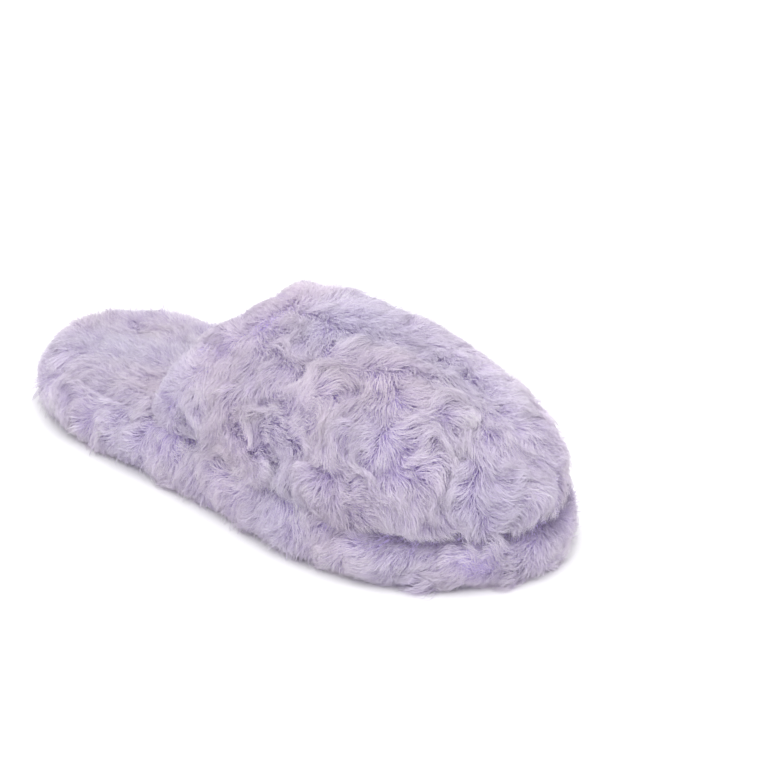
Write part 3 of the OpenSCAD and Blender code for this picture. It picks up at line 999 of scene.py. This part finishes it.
vamp_pile = pile(
    "vamp_pile", vamp_patch(), PILE, count=105000, length=11.5, lift=(57, 28, 6),
    comb=comb_with(vamp_bias, big=42, small=21), seed=11, pits=1.0, len_map=vamp_len,
    root_mix=vamp_roots_pale_and_lit, painted_shade_map=vamp_painted_shade, wild=vamp_wild, calm=vamp_calm)

# --- wrap: outer face of the band round the platform -------------------------
# distance in from the footprint, z, from the top edge down
WRAP_FACE = np.array([
    [9.2, 24.6], [8.4, 23.7], [7.2, 22.5], [5.6, 20.2], [4.6, 17.2], [4.3, 13.6], [4.3, 10],
    [4.8, 6.6], [5.9, 4.1], [7.6, 2.6]])


def wrap_patch():
    t = np.linspace(0, len(WRAP_FACE) - 1, 60)
    face = np.column_stack([np.interp(t, np.arange(len(WRAP_FACE)), c) for c in WRAP_FACE.T])
    for _ in range(3):
        face[1:-1] = (face[:-2] + 2 * face[1:-1] + face[2:]) / 4
    u = even_ring(900)
    return Patch(band_points(u, face), (450, 30), (*outward(u[450:451])[0], 0), closed=True)


def wrap_bias(places, normals):
    # down and away from the sides, sideways and less steep round the toe, out at the top
    toe = smooth(places[:, 0], 30, 90)[:, None]
    way = np.zeros_like(places)
    way[:, 2] = -0.75
    way += 0.35 * toe * np.array([0, 0, 1.0])
    way += (0.5 + 0.5 * toe) * level_tangent(normals) * np.tanh(places[:, 1:2] / 20)
    way[:, :2] += 0.9 * look(places)[0] * smooth(places[:, 2], 18, 24)[:, None]
    return way


def near_toe(places):
    return smooth(places[:, 0], 50, 95)


def wrap_len(places, grid):
    toe, z = near_toe(places), places[:, 2]
    top_edge = smooth(z, 18.0, 23.5)
    return ((1 - top_edge * (0.15 + 0.55 * toe)) * (1 - 0.15 * toe)
            * (1 + 0.25 * smooth(z, 8, 3) * lift_noise(places)))


# painted shade: darker toward the top edge round the toe, in the crease under the vamp's fringe
def wrap_crease_shade(places, grid):
    return 1 - 0.50 * smooth(places[:, 2], 15.5, 22) * near_toe(places)


def wrap_weight(points):
    """Thicker along the bottom edge, so that the sole stays covered."""
    return 1 + 0.7 * smooth(points[..., 2], 10, 5)


def wrap_lift(places, grid):
    return 1 + 0.35 * smooth(places[:, 2], 9, 3)


wrap_pile = pile(
    "wrap_pile", wrap_patch(), PILE, count=62000, length=11.0, lift=(56, 24, 4),
    comb=comb_with(wrap_bias, big=30, small=24), seed=21, pits=0.4, root=(0.615, 0.525, 0.775),
    weight=wrap_weight, len_map=wrap_len, painted_shade_map=wrap_crease_shade, lift_map=wrap_lift)


# --- sock: heel and the floor of the foot space ------------------------------
def sock_patch():
    xs = cosine_spread(*ends(CORE_IN), 260, 0.998)
    outer, inner = (edge[:, None] for edge in edges(xs, CORE_IN))
    y = outer + (inner - outer) * cosine_parts(90)
    x = np.broadcast_to(xs[:, None], y.shape)
    z = sock_top(x, y, edge_distance(x, y, CORE_IN))
    return Patch(np.stack([x, y, z], -1), (100, 45), (0, 0, 1))


def sock_weight(points):
    """Full on the open heel, thinner inside and none under the upper's foot."""
    x, y = points[..., 0], points[..., 1]
    outer, inner = edges(x, CORE_IN)
    open_heel = np.clip((MOUTH_SIDE_X + 2 - x) / 6, 0, 1)
    inside = (np.minimum(y - outer, inner - y) > 11.5).astype(float)
    near_mouth = np.clip((30 - x) / 40, 0, 1)
    return open_heel + (1 - open_heel) * inside * (0.22 + 0.55 * near_mouth)


def sock_bias(places, normals):
    # back toward the heel, and out over the seam near the edge
    out, distance = look(places)
    way = np.zeros_like(places)
    way[:, :2] = -0.8, -0.2
    at_edge = smooth(distance, 13, 2)[:, None]
    way[:, :2] = way[:, :2] * (1 - 0.75 * at_edge) + 1.3 * at_edge * out
    return way


sock_pile = pile(
    "sock_pile", sock_patch(), PLUSH, count=36000, length=10.5, lift=(57, 24, 4),
    comb=comb_with(sock_bias, big=26, small=16), seed=31, clump=0.22, lock_turn=12, pits=0.3,
    tone=0.02, weight=sock_weight, root_mix=constant(0.3))


# --- lining: inside of the upper ---------------------------------------------
def lining_patch():
    around = np.linspace(0, math.pi, 160)
    points = np.array([upper_at(s, around, 11.2, 3.4) for s in ease(150, 2.0)])
    return Patch(points, (60, 80), (0, 0, -1))


def lining_weight(points):
    return np.where(points[..., 0] - MOUTH_SIDE_X < 85, 1.0, 0.12)


def lining_bias(places, normals):
    return np.zeros_like(places) + np.array([-0.6, 0, -0.3])


lining_pile = pile(
    "lining_pile", lining_patch(), PLUSH, count=12000, length=5.5, lift=(60, 35, 10),
    comb=comb_with(lining_bias, big=25, small=12), seed=51, width=0.45, lock_area=18,
    weight=lining_weight, root_mix=constant(0.5))

for pieces, slot in ((vamp_pile, "outer_pile"), (lining_pile, "lining_pile")):
    for piece in pieces:
        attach(piece, "forefoot")
for pieces, slot in ((wrap_pile, "outer_pile"), (sock_pile, "sock_pile")):
    for piece in pieces:
        across(piece, slot)
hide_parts("upper_fur")
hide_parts("upper_lining")
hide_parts("wrap_fur_front", "wrap_fur_rear")
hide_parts("sock_fur_front", "sock_fur_rear")


# ---------------------------------------------------------------------------
# Floor, light, camera (lights and camera in metres)
# ---------------------------------------------------------------------------
def build_floor(half=4000, z=-0.3):
    paper = noisy("paper_floor", (0.86, 0.86, 0.865), (0.885, 0.885, 0.89), scale=2.0, rough=0.9)
    verts = [[-half, -half, z], [half, -half, z], [half, half, z], [-half, half, z]]
    add_mesh("floor", verts, [[0, 1, 2, 3]], paper, smooth_faces=False)


def build_world():
    world = bpy.data.worlds.new("studio")
    bpy.context.scene.world = world
    world.use_nodes = True
    set_inputs(world.node_tree, world.node_tree.nodes["Background"],
               {"Color": (1.0, 1.0, 1.0, 1), "Strength": 1.01})


def build_key(place=(0.12, -0.10, 1.5), target=(0, 0, 0.03), size=1.6, power=18):
    light = bpy.data.lights.new("key", "AREA")
    light.shape = "DISK"
    light.size = size
    light.energy = power
    lamp = link_object("key", light)
    lamp.location = place
    aim = Vector(target) - Vector(place)
    lamp.rotation_euler = aim.to_track_quat("-Z", "Y").to_euler()


def build_camera():
    azimuth, elevation, roll = (math.radians(a) for a in (-48.10, 28.74, -0.84))
    distance = 1.5
    target = Vector((0, 0.0024, 0.030))
    # the aim leans off the target by these slopes
    lean_right, lean_up = 0.025197585, 0.0072586916
    back = Vector((math.cos(azimuth) * math.cos(elevation),
                   math.sin(azimuth) * math.cos(elevation), math.sin(elevation)))
    level = Vector((0, 0, 1)).cross(back).normalized()
    upright = back.cross(level)
    right = level * math.cos(roll) + upright * math.sin(roll)
    up = -level * math.sin(roll) + upright * math.cos(roll)
    axis_z = -(-back + right * lean_right + up * lean_up).normalized()
    axis_x = up.cross(axis_z).normalized()
    axes = Matrix((axis_x, axis_z.cross(axis_x), axis_z)).transposed().to_4x4()
    lens = bpy.data.cameras.new("photo_view")
    camera = link_object("photo_view", lens)
    camera.matrix_world = Matrix.Translation(target + back * distance) @ axes
    lens.sensor_fit = "HORIZONTAL"
    lens.sensor_width = 36
    lens.lens = 166.421176
    lens.clip_start, lens.clip_end = 0.01, 50
    bpy.context.scene.camera = camera


build_floor()
build_world()
build_key()
build_camera()

scene = bpy.context.scene
scene.view_settings.view_transform = "Standard"
scene.view_settings.exposure = 0.0
# light has to pass between many pale strands
scene.cycles.max_bounces = 12
scene.cycles.diffuse_bounces = 8
scene.cycles.transmission_bounces = 8
scene.cycles.transparent_max_bounces = 14
